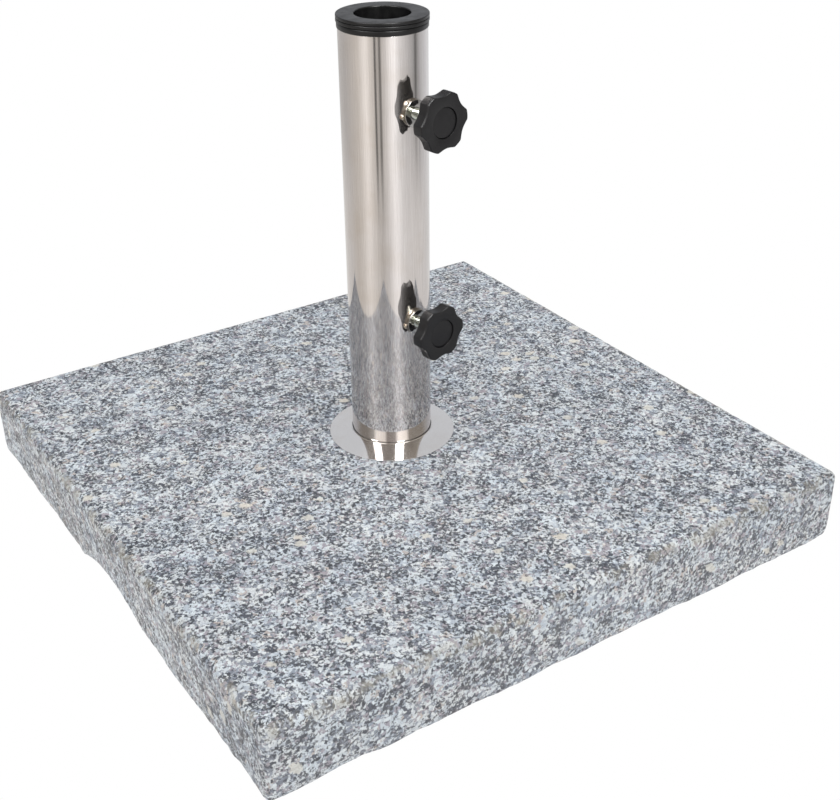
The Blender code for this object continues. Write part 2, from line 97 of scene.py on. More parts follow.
CAP_SET_BACK = 0.9 * MM
CAP_SEAT_RADIUS = 11.05 * MM
CAP_SEAT_DEPTH = 2.6 * MM

# Weld beads of each boss: angle from its top in degrees, radius in millimetres, stretch round the boss
WELD_BEADS = {
    "upper": ((132, 1.9, 1.25), (190, 2.1, 1.0), (308, 1.9, 1.1), (8, 1.9, 1.0)),
    "lower": ((125, 1.7, 1.8), (192, 2.0, 1.0), (308, 1.9, 1.0), (8, 1.8, 1.1)),
}
WELD_CIRCLE_RADIUS = 9.4 * MM

# Studio
CAMERA_PLACE = Vector((-476.2, -767.2, 606.2)) * MM
CAMERA_AZIMUTH = -33.30
CAMERA_ELEVATION = 29.755
CAMERA_ROLL = -0.60
SENSOR_WIDTH = 36
CAMERA_LENS = 1286.1 / 840 * SENSOR_WIDTH
STUDIO_FRONT = math.atan2(CAMERA_PLACE.y, CAMERA_PLACE.x)
FLOOR_RADIUS = 12.0
REFLECTED_FLOOR_RADIUS = 5.0
REFLECTED_ROOM_RADIUS = 6.0
LIGHT_DISTANCE = 2.2


# Node materials


class Graph:
    """Small helper that builds a node material."""

    def __init__(self, name):
        self.material = bpy.data.materials.new(name)
        self.material.use_nodes = True
        self.tree = self.material.node_tree
        self.tree.nodes.clear()
        self.output = self.tree.nodes.new("ShaderNodeOutputMaterial")
        self._millimetres = None

    def node(self, kind, inputs=None, **settings):
        made = self.tree.nodes.new(kind)
        for key, value in settings.items():
            setattr(made, key, value)
        for key, value in (inputs or {}).items():
            self.feed(made.inputs[key], value)
        return made

    def feed(self, socket, value):
        if isinstance(value, bpy.types.NodeSocket):
            self.tree.links.new(value, socket)
        else:
            socket.default_value = value

    def millimetres(self):
        """Position on the piece, in millimetres."""
        if self._millimetres is None:
            place = self.node("ShaderNodeTexCoord")
            inputs = {0: place.outputs["Object"], "Scale": 1 / MM}
            self._millimetres = self.node("ShaderNodeVectorMath", inputs, operation="SCALE").outputs[0]
        return self._millimetres

    def math(self, operation, a, b=0.0, c=0.0):
        made = self.node("ShaderNodeMath", {0: a, 1: b, 2: c}, operation=operation)
        return made.outputs[0]

    def vector_math(self, operation, a, b=(0, 0, 0)):
        made = self.node("ShaderNodeVectorMath", {0: a, 1: b}, operation=operation)
        return made.outputs[0]

    def stretch(self, vector, factors):
        return self.vector_math("MULTIPLY", vector, factors)

    def noise(self, vector, scale, detail=2.0, roughness=0.5, colour=False):
        made = self.node(
            "ShaderNodeTexNoise",
            {"Vector": vector, "Scale": scale, "Detail": detail, "Roughness": roughness},
        )
        return made.outputs["Color" if colour else "Fac"]

    def voronoi(self, vector, scale):
        return self.node("ShaderNodeTexVoronoi", {"Vector": vector, "Scale": scale})

    def separate(self, vector):
        return self.node("ShaderNodeSeparateXYZ", {0: vector}).outputs

    def between(self, value, low, high, to_low=0.0, to_high=1.0):
        """Eases from to_low at low to to_high at high."""
        made = self.node(
            "ShaderNodeMapRange",
            {"Value": value, "From Min": low, "From Max": high, "To Min": to_low, "To Max": to_high},
            interpolation_type="SMOOTHSTEP",
        )
        return made.outputs["Result"]

    def ramp(self, value, stops, interpolation="LINEAR"):
        made = self.node("ShaderNodeValToRGB", {"Fac": value})
        made.color_ramp.interpolation = interpolation
        elements = made.color_ramp.elements
        while len(elements) < len(stops):
            elements.new(0.5)
        for element, (position, colour) in zip(elements, stops):
            element.position = position
            element.color = (*colour, 1.0)
        return made.outputs["Color"]

    def mix(self, factor, a, b, blend="MIX"):
        made = self.node("ShaderNodeMix", data_type="RGBA", blend_type=blend)
        self.feed(made.inputs[0], factor)
        for socket, value in ((made.inputs[6], a), (made.inputs[7], b)):
            self.feed(socket, (*value, 1.0) if isinstance(value, tuple) and len(value) == 3 else value)
        return made.outputs[2]

    def bump(self, height, distance_mm, strength):
        inputs = {"Height": height, "Distance": distance_mm * MM, "Strength": strength}
        return self.node("ShaderNodeBump", inputs).outputs["Normal"]

    def principled(self, **inputs):
        named = {key.replace("_", " "): value for key, value in inputs.items()}
        for key, value in named.items():
            if isinstance(value, tuple):
                named[key] = (*value, 1.0)
        return self.node("ShaderNodeBsdfPrincipled", named)

    def glow(self, colour):
        return self.node("ShaderNodeEmission", {"Color": colour, "Strength": 1.0})

    def finish(self, shader):
        self.tree.links.new(shader.outputs[0], self.output.inputs["Surface"])
        return self.material


def granite():
    """Light grey granite: pale feldspar, grey and lilac quartz, charcoal mica, a few cream crystals."""
    g = Graph("granite")
    place = g.millimetres()
    wander = g.noise(place, 0.36, 2.0, 0.6, colour=True)
    centred = g.vector_math("SUBTRACT", wander, (0.5, 0.5, 0.5))
    warped = g.vector_math("ADD", place, g.stretch(centred, (3.4, 3.4, 3.4)))
    facing = g.separate(g.node("ShaderNodeNewGeometry").outputs["True Normal"])
    upward = g.between(facing[2], 0.35, 0.85)
    side = g.math("SUBTRACT", 1.0, upward)

    # main crystals, 4 to 5 mm
    coarse = g.voronoi(warped, 0.205)
    pick = g.separate(coarse.outputs["Color"])
    minerals = [
        (0.00, (0.47, 0.52, 0.575)),
        (0.20, (0.59, 0.635, 0.67)),
        (0.40, (0.285, 0.32, 0.375)),
        (0.54, (0.19, 0.21, 0.255)),
        (0.64, (0.36, 0.335, 0.375)),
        (0.78, (0.50, 0.455, 0.43)),
        (0.84, (0.085, 0.097, 0.125)),
        (0.92, (0.66, 0.70, 0.72)),
    ]
    colour = g.ramp(pick[0], minerals, "CONSTANT")
    # smaller crystals between them, 2 mm
    fine = g.voronoi(warped, 0.43)
    pick_fine = g.separate(fine.outputs["Color"])
    small = [
        (0.00, (0.57, 0.615, 0.65)),
        (0.24, (0.26, 0.29, 0.335)),
        (0.46, (0.06, 0.068, 0.088)),
        (0.62, (0.36, 0.345, 0.38)),
        (0.78, (0.69, 0.735, 0.755)),
    ]
    small_colour = g.ramp(pick_fine[0], small, "CONSTANT")
    colour = g.mix(g.between(pick_fine[1], 0.50, 0.54), colour, small_colour)
    # charcoal mica in loose clusters
    clusters = g.noise(place, 0.07, 2.0, 0.5)
    flecks = g.noise(warped, 0.43, 3.0, 0.62)
    level = g.math("MULTIPLY_ADD", clusters, 0.42, g.math("ADD", flecks, -0.21))
    dark = g.between(level, 0.526, 0.560)
    mica = g.mix(pick_fine[2], (0.016, 0.019, 0.026), (0.070, 0.079, 0.100))
    colour = g.mix(g.math("MULTIPLY", dark, 0.88), colour, mica)
    # bright grains
    sparkle = g.noise(g.vector_math("ADD", warped, (37.0, 11.0, 5.0)), 0.40, 2.0, 0.5)
    bright = g.math("MULTIPLY", g.between(sparkle, 0.585, 0.635), 0.80)
    colour = g.mix(bright, colour, (0.71, 0.755, 0.77))
    # a few large cream crystals, drawn out along one direction in the sides
    slanted = g.node("ShaderNodeMapping", {"Vector": warped, "Rotation": (0.5, 0.7, 0.4)})
    large = g.voronoi(g.stretch(slanted.outputs[0], (1.0, 1.0, 0.45)), 0.085)
    rare = g.between(g.separate(large.outputs["Color"])[0], 0.925, 0.930)
    ragged_edge = g.math("ADD", large.outputs["Distance"], g.math("MULTIPLY", flecks, 0.5))
    near = g.between(ragged_edge, 0.60, 0.50)
    cream = g.math("MULTIPLY", g.math("MULTIPLY", rare, near), 0.8)
    colour = g.mix(cream, colour, (0.68, 0.655, 0.585))
    # cloudiness inside the crystals and over the slab
    layers = (
        (g.noise(place, 1.7, 3.0, 0.6), [(0.25, (0.78, 0.78, 0.78)), (0.75, (1.20, 1.20, 1.20))]),
        (g.noise(place, 0.05, 2.0, 0.5), [(0.36, (0.975, 1.0, 1.03)), (0.64, (1.025, 1.0, 0.985))]),
        (g.noise(place, 0.016, 2.0, 0.5), [(0.3, (0.92, 0.93, 0.945)), (0.7, (1.07, 1.06, 1.05))]),
    )
    for layer, stops in layers:
        colour = g.mix(1.0, colour, g.ramp(layer, stops), "MULTIPLY")

    # the sawn sides are a little duller and warmer than the top
    dull = g.mix(g.math("MULTIPLY", side, 0.10), colour, (0.36, 0.35, 0.355))
    # a beige bloom and brown stains along the worn top edges
    where = g.separate(place)
    reach = g.math("MAXIMUM", g.math("ABSOLUTE", where[0]), g.math("ABSOLUTE", where[1]))
    ragged = g.noise(place, 0.09, 3.0, 0.65)
    rim = g.math("MULTIPLY", g.between(reach, 241.5, 247.0), g.between(where[2], 53.0, 59.0))
    bloom = g.math("MULTIPLY", rim, g.between(ragged, 0.42, 0.62))
    browned = g.between(g.noise(place, 0.22, 3.0, 0.6), 0.50, 0.62)
    crust = g.mix(browned, (0.42, 0.40, 0.335), (0.27, 0.235, 0.17))
    colour = g.mix(g.math("MULTIPLY", bloom, 0.50), dull, crust)

    roughness = g.between(dark, 0.0, 1.0, 0.58, 0.42)
    pits = g.noise(place, 1.1, 4.0, 0.65)
    saw = g.noise(place, 0.5, 4.0, 0.6)
    sawn = g.math("MULTIPLY", g.math("MULTIPLY", saw, side), 1.2)
    relief = g.math("ADD", g.math("MULTIPLY", pits, 0.7), sawn)
    relief = g.math("SUBTRACT", relief, g.math("MULTIPLY", dark, 0.25))
    shader = g.principled(
        Base_Color=colour,
        Roughness=roughness,
        Normal=g.bump(relief, 0.28, 0.8),
    )
    shader.inputs["Specular IOR Level"].default_value = 0.35
    return g.finish(shader)


def tube_steel(name, tint, sharpness, haze, streaks, drawn=True):
    """Polished stainless steel: a mirror with some haze that spreads up and down, and lines along Z if drawn."""
    g = Graph(name)
    place = g.millimetres()
    grain_space = g.stretch(place, (1.0, 1.0, 0.012)) if drawn else place
    lines = g.noise(grain_space, 2.6, 3.0, 0.6)
    broad = g.noise(grain_space, 0.35, 2.0, 0.5)
    stain = g.noise(place, 0.03, 3.0, 0.6)
    light = tuple(min(1.0, channel * 1.05) for channel in tint)
    dark = tuple(channel * 0.93 for channel in tint)
    colour = g.mix(g.between(lines, 0.3, 0.7), dark, light)
    darkened_metal = tuple(channel * factor for channel, factor in zip(tint, (0.84, 0.79, 0.72)))
    colour = g.mix(g.math("MULTIPLY", g.between(stain, 0.45, 0.75), 0.35), colour, darkened_metal)
    relief = g.math("ADD", g.math("MULTIPLY", lines, 0.35), broad)
    normal = g.bump(relief, streaks, 0.5)
    rough = g.between(lines, 0.25, 0.75, sharpness * 0.8, sharpness * 1.25)
    mirror = g.principled(Base_Color=colour, Metallic=1.0, Roughness=rough, Normal=normal)
    hazy = g.principled(Base_Color=colour, Metallic=1.0, Roughness=0.50, Normal=normal)
    hazy.inputs["Anisotropic"].default_value = 1.0
    hazy.inputs["Anisotropic Rotation"].default_value = 0.25
    tangent = g.node("ShaderNodeTangent", direction_type="RADIAL", axis="Z")
    g.tree.links.new(tangent.outputs[0], hazy.inputs["Tangent"])
    both = g.node("ShaderNodeMixShader", {0: haze, 1: mirror.outputs[0], 2: hazy.outputs[0]})
    return g.finish(both)


def plated_steel(name, tint=(0.66, 0.68, 0.63), rough=0.2):
    """Bright zinc plating with a faint greenish and yellow passivation."""
    g = Graph(name)
    place = g.millimetres()
    film = g.noise(place, 0.25, 3.0, 0.6)
    greenish = tuple(channel * factor for channel, factor in zip(tint, (0.93, 0.96, 0.86)))
    colour = g.mix(g.between(film, 0.35, 0.7), tint, greenish)
    spots = g.noise(place, 2.2, 4.0, 0.65)
    colour = g.mix(g.math("MULTIPLY", g.between(spots, 0.58, 0.72), 0.5), colour, (0.30, 0.29, 0.27))
    roughness = g.between(spots, 0.3, 0.75, rough * 0.7, rough * 1.7)
    normal = g.bump(spots, 0.02, 0.5)
    shader = g.principled(Base_Color=colour, Metallic=1.0, Roughness=roughness, Normal=normal)
    return g.finish(shader)


def weld_steel(name):
    """Weld beads: silver with a straw and brown heat tint."""
    g = Graph(name)
    place = g.millimetres()
    heat = g.noise(place, 0.55, 2.0, 0.5)
    stops = [
        (0.30, (0.52, 0.51, 0.49)),
        (0.46, (0.50, 0.45, 0.36)),
        (0.56, (0.22, 0.16, 0.11)),
        (0.68, (0.48, 0.47, 0.45)),
    ]
    colour = g.ramp(heat, stops)
    ripple = g.noise(place, 2.4, 3.0, 0.6)
    rough = g.between(ripple, 0.3, 0.7, 0.16, 0.38)
    normal = g.bump(ripple, 0.12, 0.8)
    shader = g.principled(Base_Color=colour, Metallic=1.0, Roughness=rough, Normal=normal)
    return g.finish(shader)


def mill_steel(name):
    """Plain mild steel with mill scale and a little rust."""
    g = Graph(name)
    place = g.millimetres()
    scale = g.noise(place, 0.35, 4.0, 0.65)
    colour = g.mix(g.between(scale, 0.35, 0.65), (0.30, 0.30, 0.31), (0.17, 0.165, 0.16))
    rust = g.between(g.noise(place, 0.16, 4.0, 0.7), 0.58, 0.70)
    colour = g.mix(g.math("MULTIPLY", rust, 0.7), colour, (0.23, 0.11, 0.05))
    metal = g.math("SUBTRACT", 1.0, rust)
    rough = g.between(scale, 0.3, 0.7, 0.38, 0.62)
    shader = g.principled(Base_Color=colour, Metallic=metal, Roughness=rough, Normal=g.bump(scale, 0.08, 0.6))
    return g.finish(shader)


def black_plastic(name, colour, rough, grain_scale, grain_mm, wear=0.0):
    """Black moulded plastic with a fine spark-eroded grain and a few pale scuffs."""
    g = Graph(name)
    place = g.millimetres()
    grain = g.noise(place, grain_scale, 3.0, 0.6)
    patches = g.noise(place, 0.11, 3.0, 0.6)
    lighter = tuple(c * 1.5 + 0.001 for c in colour)
    tone = g.mix(g.math("MULTIPLY", g.between(patches, 0.45, 0.75), 0.5), colour, lighter)
    scratch_space = g.stretch(place, (0.25, 1.6, 1.0))
    scratches = g.between(g.noise(scratch_space, 0.9, 5.0, 0.75), 0.665, 0.72)
    tone = g.mix(g.math("MULTIPLY", scratches, wear), tone, (0.16, 0.155, 0.15))
    roughness = g.between(patches, 0.3, 0.75, rough * 0.85, rough * 1.2)
    shader = g.principled(Base_Color=tone, Roughness=roughness, Normal=g.bump(grain, grain_mm, 0.6))
    shader.inputs["Specular IOR Level"].default_value = 0.30
    return g.finish(shader)


def nylon(name):
    """Off-white nylon, rubbed grey in places."""
    g = Graph(name)
    place = g.millimetres()
    flow = g.noise(place, 0.4, 3.0, 0.6)
    colour = g.mix(flow, (0.70, 0.69, 0.64), (0.78, 0.77, 0.73))
    rub = g.between(g.noise(place, 0.9, 3.0, 0.7), 0.60, 0.70)
    colour = g.mix(g.math("MULTIPLY", rub, 0.35), colour, (0.40, 0.39, 0.36))
    shader = g.principled(Base_Color=colour, Roughness=0.42, Normal=g.bump(flow, 0.05, 0.4))
    shader.inputs["Subsurface Weight"].default_value = 0.15
    shader.inputs["Subsurface Scale"].default_value = 0.5 * MM
    return g.finish(shader)


def rubber(name):
    """Dusty black rubber crumb."""
    g = Graph(name)
    place = g.millimetres()
    crumb = g.noise(place, 0.9, 4.0, 0.7)
    dust = g.between(g.noise(place, 0.12, 4.0, 0.65), 0.5, 0.75)
    colour = g.mix(g.between(crumb, 0.4, 0.65), (0.018, 0.018, 0.019), (0.045, 0.044, 0.042))
    colour = g.mix(g.math("MULTIPLY", dust, 0.4), colour, (0.13, 0.125, 0.115))
    shader = g.principled(Base_Color=colour, Roughness=0.82, Normal=g.bump(crumb, 0.15, 0.7))
    return g.finish(shader)


# Shapes


def add_object(name, form, material, smooth_angle=35):
    mesh = bpy.data.meshes.new(name)
    form.to_mesh(mesh)
    form.free()
    obj = bpy.data.objects.new(name, mesh)
    bpy.context.scene.collection.objects.link(obj)
    mesh.shade_smooth()
    if smooth_angle:
        mesh.set_sharp_from_angle(angle=math.radians(smooth_angle))
    if material:
        mesh.materials.append(material)
    return obj


def skin_rings(rings, closed):
    """Mesh through rings of equal point count: a closed loop of rings, or a stack with filled ends."""
    form = bmesh.new()
    levels = [[form.verts.new(point) for point in ring] for ring in rings]
    count = len(levels[0])
    pairs = list(zip(levels, levels[1:]))
    if closed:
        pairs.append((levels[-1], levels[0]))
    for lower, upper in pairs:
        for i in range(count):
            after = (i + 1) % count
            form.faces.new((lower[i], lower[after], upper[after], upper[i]))
    if not closed:
        form.faces.new(list(reversed(levels[0])))
        form.faces.new(levels[-1])
    bmesh.ops.recalc_face_normals(form, faces=form.faces)
    return form


def circle_ring(radius, height, segments):
    points = []
    for i in range(segments):
        angle = math.tau * i / segments
        points.append((radius * math.cos(angle), radius * math.sin(angle), height))
    return points


def turned(name, profile, segments, material, smooth_angle=35):
    """The closed (radius, height) profile turned round Z."""
    rings = [circle_ring(radius, height, segments) for radius, height in profile]
    return add_object(name, skin_rings(rings, True), material, smooth_angle)


def rounded(profile, radii, steps=4):
    """The closed (radius, height) profile with its corners rounded; a radius of 0 leaves a corner sharp."""
    points = []
    count = len(profile)
    for i, (corner, radius) in enumerate(zip(profile, radii)):
        here = Vector(corner)
        if not radius:
            points.append(tuple(here))
            continue
        to_last = (Vector(profile[i - 1]) - here).normalized()
        to_next = (Vector(profile[(i + 1) % count]) - here).normalized()
        half = to_last.angle(to_next) / 2
        cut = radius / math.tan(half)
        start = here + to_last * cut
        end = here + to_next * cut
        for step in range(steps + 1):
            t = step / steps
            points.append(tuple(start * (1 - t) ** 2 + here * 2 * t * (1 - t) + end * t ** 2))
    return points


def point_along_screw(obj, height):
    """Turns the piece's Z axis to the screws' direction, at this height."""
    obj.location = (0, 0, height)
    obj.rotation_euler = (0, math.pi / 2, SCREW_DIRECTION)


def screw_side(angle):
    """The angle round a screw, counted from its top, as an angle round the piece's own Z axis."""
    return angle + math.pi / 2


def place(obj, body, node):
    """Rides on the body in place of the node."""
    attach(obj, body)
    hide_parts(node)


def place_beside(obj, body):
    """Rides on the body with the piece that replaces the node."""
    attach(obj, body)


def apply_modifiers(obj):
    graph = bpy.context.evaluated_depsgraph_get()
    mesh = bpy.data.meshes.new_from_object(obj.evaluated_get(graph), depsgraph=graph)
    obj.modifiers.clear()
    obj.data = mesh


def cut(obj, form, location=(0, 0, 0), rotation=(0, 0, 0)):
    """Cuts the form away."""
    mesh = bpy.data.meshes.new("cutter")
    form.to_mesh(mesh)
    form.free()
    tool = bpy.data.objects.new("cutter", mesh)
    bpy.context.scene.collection.objects.link(tool)
    tool.location = location
    tool.rotation_euler = rotation
    step = obj.modifiers.new("cut", "BOOLEAN")
    step.operation = "DIFFERENCE"
    step.solver = "EXACT"
    step.object = tool
    bpy.context.view_layer.update()
    apply_modifiers(obj)
    bpy.data.objects.remove(tool, do_unlink=True)


# Slab


def slab_outline(inset):
    """(point, outward direction) round the rounded square, moved in by inset."""
    points = []
    middle = SLAB_HALF - SLAB_ARRIS
    radius = SLAB_ARRIS - inset
    for quarter in range(4):
        turn = Matrix.Rotation(quarter * math.pi / 2, 2)
        for i in range(CORNER_STEPS + 1):
            angle = math.pi / 2 * i / CORNER_STEPS
            outward = Vector((math.cos(angle), math.sin(angle)))
            points.append((turn @ (Vector((middle, middle)) + outward * radius), turn @ outward))
        for i in range(1, SLAB_STEPS):
            across = middle - 2 * middle * i / SLAB_STEPS
            points.append((turn @ Vector((across, middle + radius)), turn @ Vector((0, 1))))
    return points


def flat_ring(inset, share, height):
    """The outline drawn in towards the middle, on one level."""
    return [(flat.x * share, flat.y * share, height) for flat, _ in slab_outline(inset)]


def fractal(point, size, seed, octaves=3):
    """Noise from about -1 to 1 with features of this size."""
    return noise.fractal((point + Vector((seed, seed * 2, seed * 3))) / size, 1.0, 2.0, octaves)


def chipped(point, outward):
    """How far the stone is worn back from the true face at this point, always inward."""
    height = point.z - SLAB_BOTTOM
    below_top = SLAB_TOP - point.z
    back = 0.25 * MM * (1 + fractal(point, 22 * MM, 3.1))
    back += 0.16 * MM * (1 + fractal(point, 6 * MM, 7.7))
    low = max(0.0, 1 - height / (13 * MM))
    bite = max(0.0, 0.30 + fractal(point, 34 * MM, 12.3, 2) + 0.35 * fractal(point, 9 * MM, 14.3, 2))
    back += low ** 1.6 * (0.7 * MM + 1.7 * MM * bite)
    high = max(0.0, 1 - abs(below_top - 3 * MM) / (5 * MM))
    nick = max(0.0, fractal(point, 7 * MM, 21.9) - 0.12)
    back += high * (0.15 * MM + 1.5 * MM * nick)
    return outward * -back


def granite_slab():
    """Slab with worn arrises, an uneven lower edge, a recess and hole for the anchor bolt, and two grips."""
    levels = []
    lower = SLAB_LOWER_ARRIS
    for i in range(4):
        angle = math.pi / 2 * i / 3
        levels.append((lower * (1 - math.sin(angle)), SLAB_BOTTOM + lower * (1 - math.cos(angle))))
    side_steps = 18
    side_low, side_high = SLAB_BOTTOM + lower, SLAB_TOP - SLAB_ARRIS
    for i in range(1, side_steps):
        levels.append((0.0, side_low + (side_high - side_low) * i / side_steps))
    arris_steps = 7
    for i in range(arris_steps):
        angle = math.pi / 2 * i / arris_steps
        levels.append((SLAB_ARRIS * (1 - math.cos(angle)), SLAB_TOP - SLAB_ARRIS * (1 - math.sin(angle))))
    levels.append((SLAB_ARRIS * 0.97, SLAB_TOP))
    rings = [flat_ring(lower, 0.95, SLAB_BOTTOM)]
    for inset, height in levels:
        ring = []
        for flat, outward in slab_outline(inset):
            point = Vector((flat.x, flat.y, height))
            point += chipped(point, Vector((outward.x, outward.y, 0)))
            if height < SLAB_BOTTOM + 8 * MM:
                share = 1 - (height - SLAB_BOTTOM) / (8 * MM)
                lift = max(0.0, 0.3 + fractal(Vector((point.x, point.y, 0)), 38 * MM, 31.0, 2))
                lift += max(0.0, 0.4 * fractal(Vector((point.x, point.y, 0)), 8 * MM, 33.0, 2))
                point.z += share * 1.9 * MM * lift
            ring.append(tuple(point))
        rings.append(ring)
    rings.append(flat_ring(SLAB_ARRIS * 0.97, 0.97, SLAB_TOP))
    form = skin_rings(rings, False)
    slab = add_object("granite_slab_stone", form, granite(), smooth_angle=None)
    recess_heights = (-5 * MM, SLAB_BOTTOM + RECESS_DEPTH)
    cut(slab, skin_rings([circle_ring(RECESS_RADIUS, z, 96) for z in recess_heights], False))
    hole_heights = (0, SLAB_TOP + 5 * MM)
    cut(slab, skin_rings([circle_ring(ANCHOR_HOLE_RADIUS, z, 48) for z in hole_heights], False))
    for side in (-1, 1):
        cut(slab, grip_form(), (0, 0, GRIP_CENTRE), (0, side * math.pi / 2, 0))
    slab.data.shade_smooth()
    slab.data.set_sharp_from_angle(angle=math.radians(40))
    slab.data.materials.clear()
    slab.data.materials.append(bpy.data.materials["granite"])
    place(slab, "base", "granite_slab")


def grip_form():
    """Scoop for the fingers, hewn a little unevenly."""
    rings = []
    levels = [(-0.6 * MM, SLAB_HALF + 5 * MM)]
    for i in range(7):
        levels.append((0.0, SLAB_HALF + 1 * MM - i * 3.3 * MM))
    rounding = 9 * MM
    for i in range(1, 7):
        angle = math.pi / 2 * i / 7
        reach = SLAB_HALF - 19 * MM - rounding * math.sin(angle)
        levels.append((rounding * (1 - math.cos(angle)), reach))
    for inset, reach in levels:
        ring = []
        for i in range(360):
            angle = math.tau * i / 360
            direction = Vector((math.cos(angle), math.sin(angle), 0))
            point = direction * (GRIP_RADIUS - inset) + Vector((0, 0, reach))
            uneven = 0.5 * MM * fractal(point, 12 * MM, 5.5)
            ring.append(tuple(point - direction * (0.5 * MM - uneven)))
        rings.append(ring)
    return skin_rings(rings, False)


# Tube, rosette, sleeves


def stand_tube(steel):
    """Open tube with a hole for each screw."""
    edge = 0.12 * MM
    profile = [
        (TUBE_INNER_RADIUS, TUBE_BOTTOM),
        (TUBE_RADIUS, TUBE_BOTTOM),
        (TUBE_RADIUS, TUBE_TOP),
        (TUBE_INNER_RADIUS, TUBE_TOP),
    ]
    profile = rounded(profile, (0, edge, edge, edge))
    tube = turned("stand_tube_polished", profile, 288, steel)
    for height in SCREW_HEIGHTS.values():
        rings = [circle_ring(SCREW_HOLE_RADIUS, reach, 48) for reach in (15 * MM, 60 * MM)]
        cut(tube, skin_rings(rings, False), (0, 0, height), (0, math.pi / 2, SCREW_DIRECTION))
    tube.data.shade_smooth()
    tube.data.set_sharp_from_angle(angle=math.radians(35))
    place(tube, "base", "stand_tube")


def rosette(steel):
    """Shallow hollow cone with a small lip against the tube."""
    base = SLAB_TOP + 0.3 * MM
    inner_floor, lip_top = base + 3.6 * MM, base + 5.75 * MM
    profile = [
        (35.2 * MM, inner_floor),
        (49.6 * MM, base),
        (ROSETTE_RADIUS, base),
        (ROSETTE_RADIUS, base + 0.9 * MM),
        (33.1 * MM, base + 5.35 * MM),
        (32.9 * MM, lip_top),
        (ROSETTE_BORE, lip_top),
        (ROSETTE_BORE, inner_floor),
    ]
    disc = turned("rosette_polished", profile, 240, steel, 12)
    place(disc, "base", "rosette")


# name, body radius, bore radius, height of the flange's underside, flange thickness, flange radius, edge rounding
SLEEVES = (
    ("outer", 29.95 * MM, 27.0 * MM, 389.35 * MM, 3.95 * MM, 32.3 * MM, 1.2 * MM),
    ("middle", 26.7 * MM, 23.7 * MM, 393.6 * MM, 2.4 * MM, 32.8 * MM, 0.7 * MM),
    ("inner", 23.4 * MM, 20.0 * MM, 396.3 * MM, 2.3 * MM, 32.8 * MM, 0.7 * MM),
)


def reducer_sleeves():
    """Three flanged sleeves, each in the one before."""
    plastic = black_plastic("sleeve_plastic", (0.0045, 0.0045, 0.0055), 0.36, 1.6, 0.02, wear=0.25)
    for name, body, bore, bottom, flange, reach, edge in SLEEVES:
        top = bottom + flange
        low = bottom - SLEEVE_LENGTH
        profile = [
            (bore, low),
            (body, low),
            (body, bottom),
            (reach, bottom),
            (reach, top),
            (bore, top),
        ]
        radii = (0.3 * MM, 1.2 * MM, 0, edge * 0.6, edge, 0.9 * MM)
        sleeve = turned(f"sleeve_{name}", rounded(profile, radii, 5), 200, plastic)
        place(sleeve, f"{name}_sleeve", f"reducer_sleeve_{name}")


# Clamp screws


def boss(prefix, steel, darkened_metal, weld):
    """Boss with a polished face and darker sides, painted shade, welded to the tube with four beads."""
    profile = [
        (BOSS_BORE, BOSS_ROOT),
        (BOSS_RADIUS, BOSS_ROOT),
        (BOSS_RADIUS, BOSS_FACE),
        (BOSS_BORE, BOSS_FACE),
    ]
    height = SCREW_HEIGHTS[prefix]
    made = turned(f"{prefix}_boss", rounded(profile, (0, 0, 0.4 * MM, 0.5 * MM), 5), 120, steel)
    point_along_screw(made, height)
    bpy.context.view_layer.update()
    made.data.transform(made.matrix_world)
    made.matrix_world = Matrix.Identity(4)
    heights = (height - 30 * MM, height + 30 * MM)
    cut(made, skin_rings([circle_ring(TUBE_RADIUS + 0.05 * MM, z, 200) for z in heights], False))
    made.data.shade_smooth()
    made.data.set_sharp_from_angle(angle=math.radians(35))
    made.data.materials.clear()
    made.data.materials.append(steel)
    made.data.materials.append(darkened_metal)
    # faces round the boss's side take the darker second material: painted shade
    outward = Vector((math.cos(SCREW_DIRECTION), math.sin(SCREW_DIRECTION), 0))
    for polygon in made.data.polygons:
        if abs(polygon.normal.dot(outward)) < 0.2:
            polygon.material_index = 1
    place(made, "base", f"{prefix}_weld_boss")
    turn = Matrix.Translation((0, 0, height)) @ Matrix.Rotation(SCREW_DIRECTION, 4, "Z")
    for index, (angle, radius, stretch) in enumerate(WELD_BEADS[prefix]):
        side = screw_side(math.radians(angle))
        form = bmesh.new()
        bmesh.ops.create_icosphere(form, subdivisions=4, radius=1.0)
        for vertex in form.verts:
            lump = 1 + 0.09 * fractal(vertex.co, 0.9, 3.0 + index)
            ripple = 1 + 0.02 * math.sin(vertex.co.y * 14)
            flattened = Vector((vertex.co.x, vertex.co.y * stretch, vertex.co.z * 0.75))
            vertex.co = flattened * lump * ripple
        bead = add_object(f"{prefix}_weld_bead_{index + 1}", form, weld, None)
        flat = Vector((WELD_CIRCLE_RADIUS * math.cos(side), WELD_CIRCLE_RADIUS * math.sin(side)))
        # the beads sit in the corner between the boss and the tube's wall
        wall = math.sqrt(max(0.0, TUBE_RADIUS ** 2 - flat.y ** 2))
        local = (
            Matrix.Translation((flat.x, flat.y, wall + 0.7 * MM))
            @ Matrix.Rotation(side, 4, "Z")
            @ Matrix.Scale(radius * MM, 4)
        )
        bead.data.transform(turn @ Matrix.Rotation(math.pi / 2, 4, "Y") @ local)
        place_beside(bead, "base")


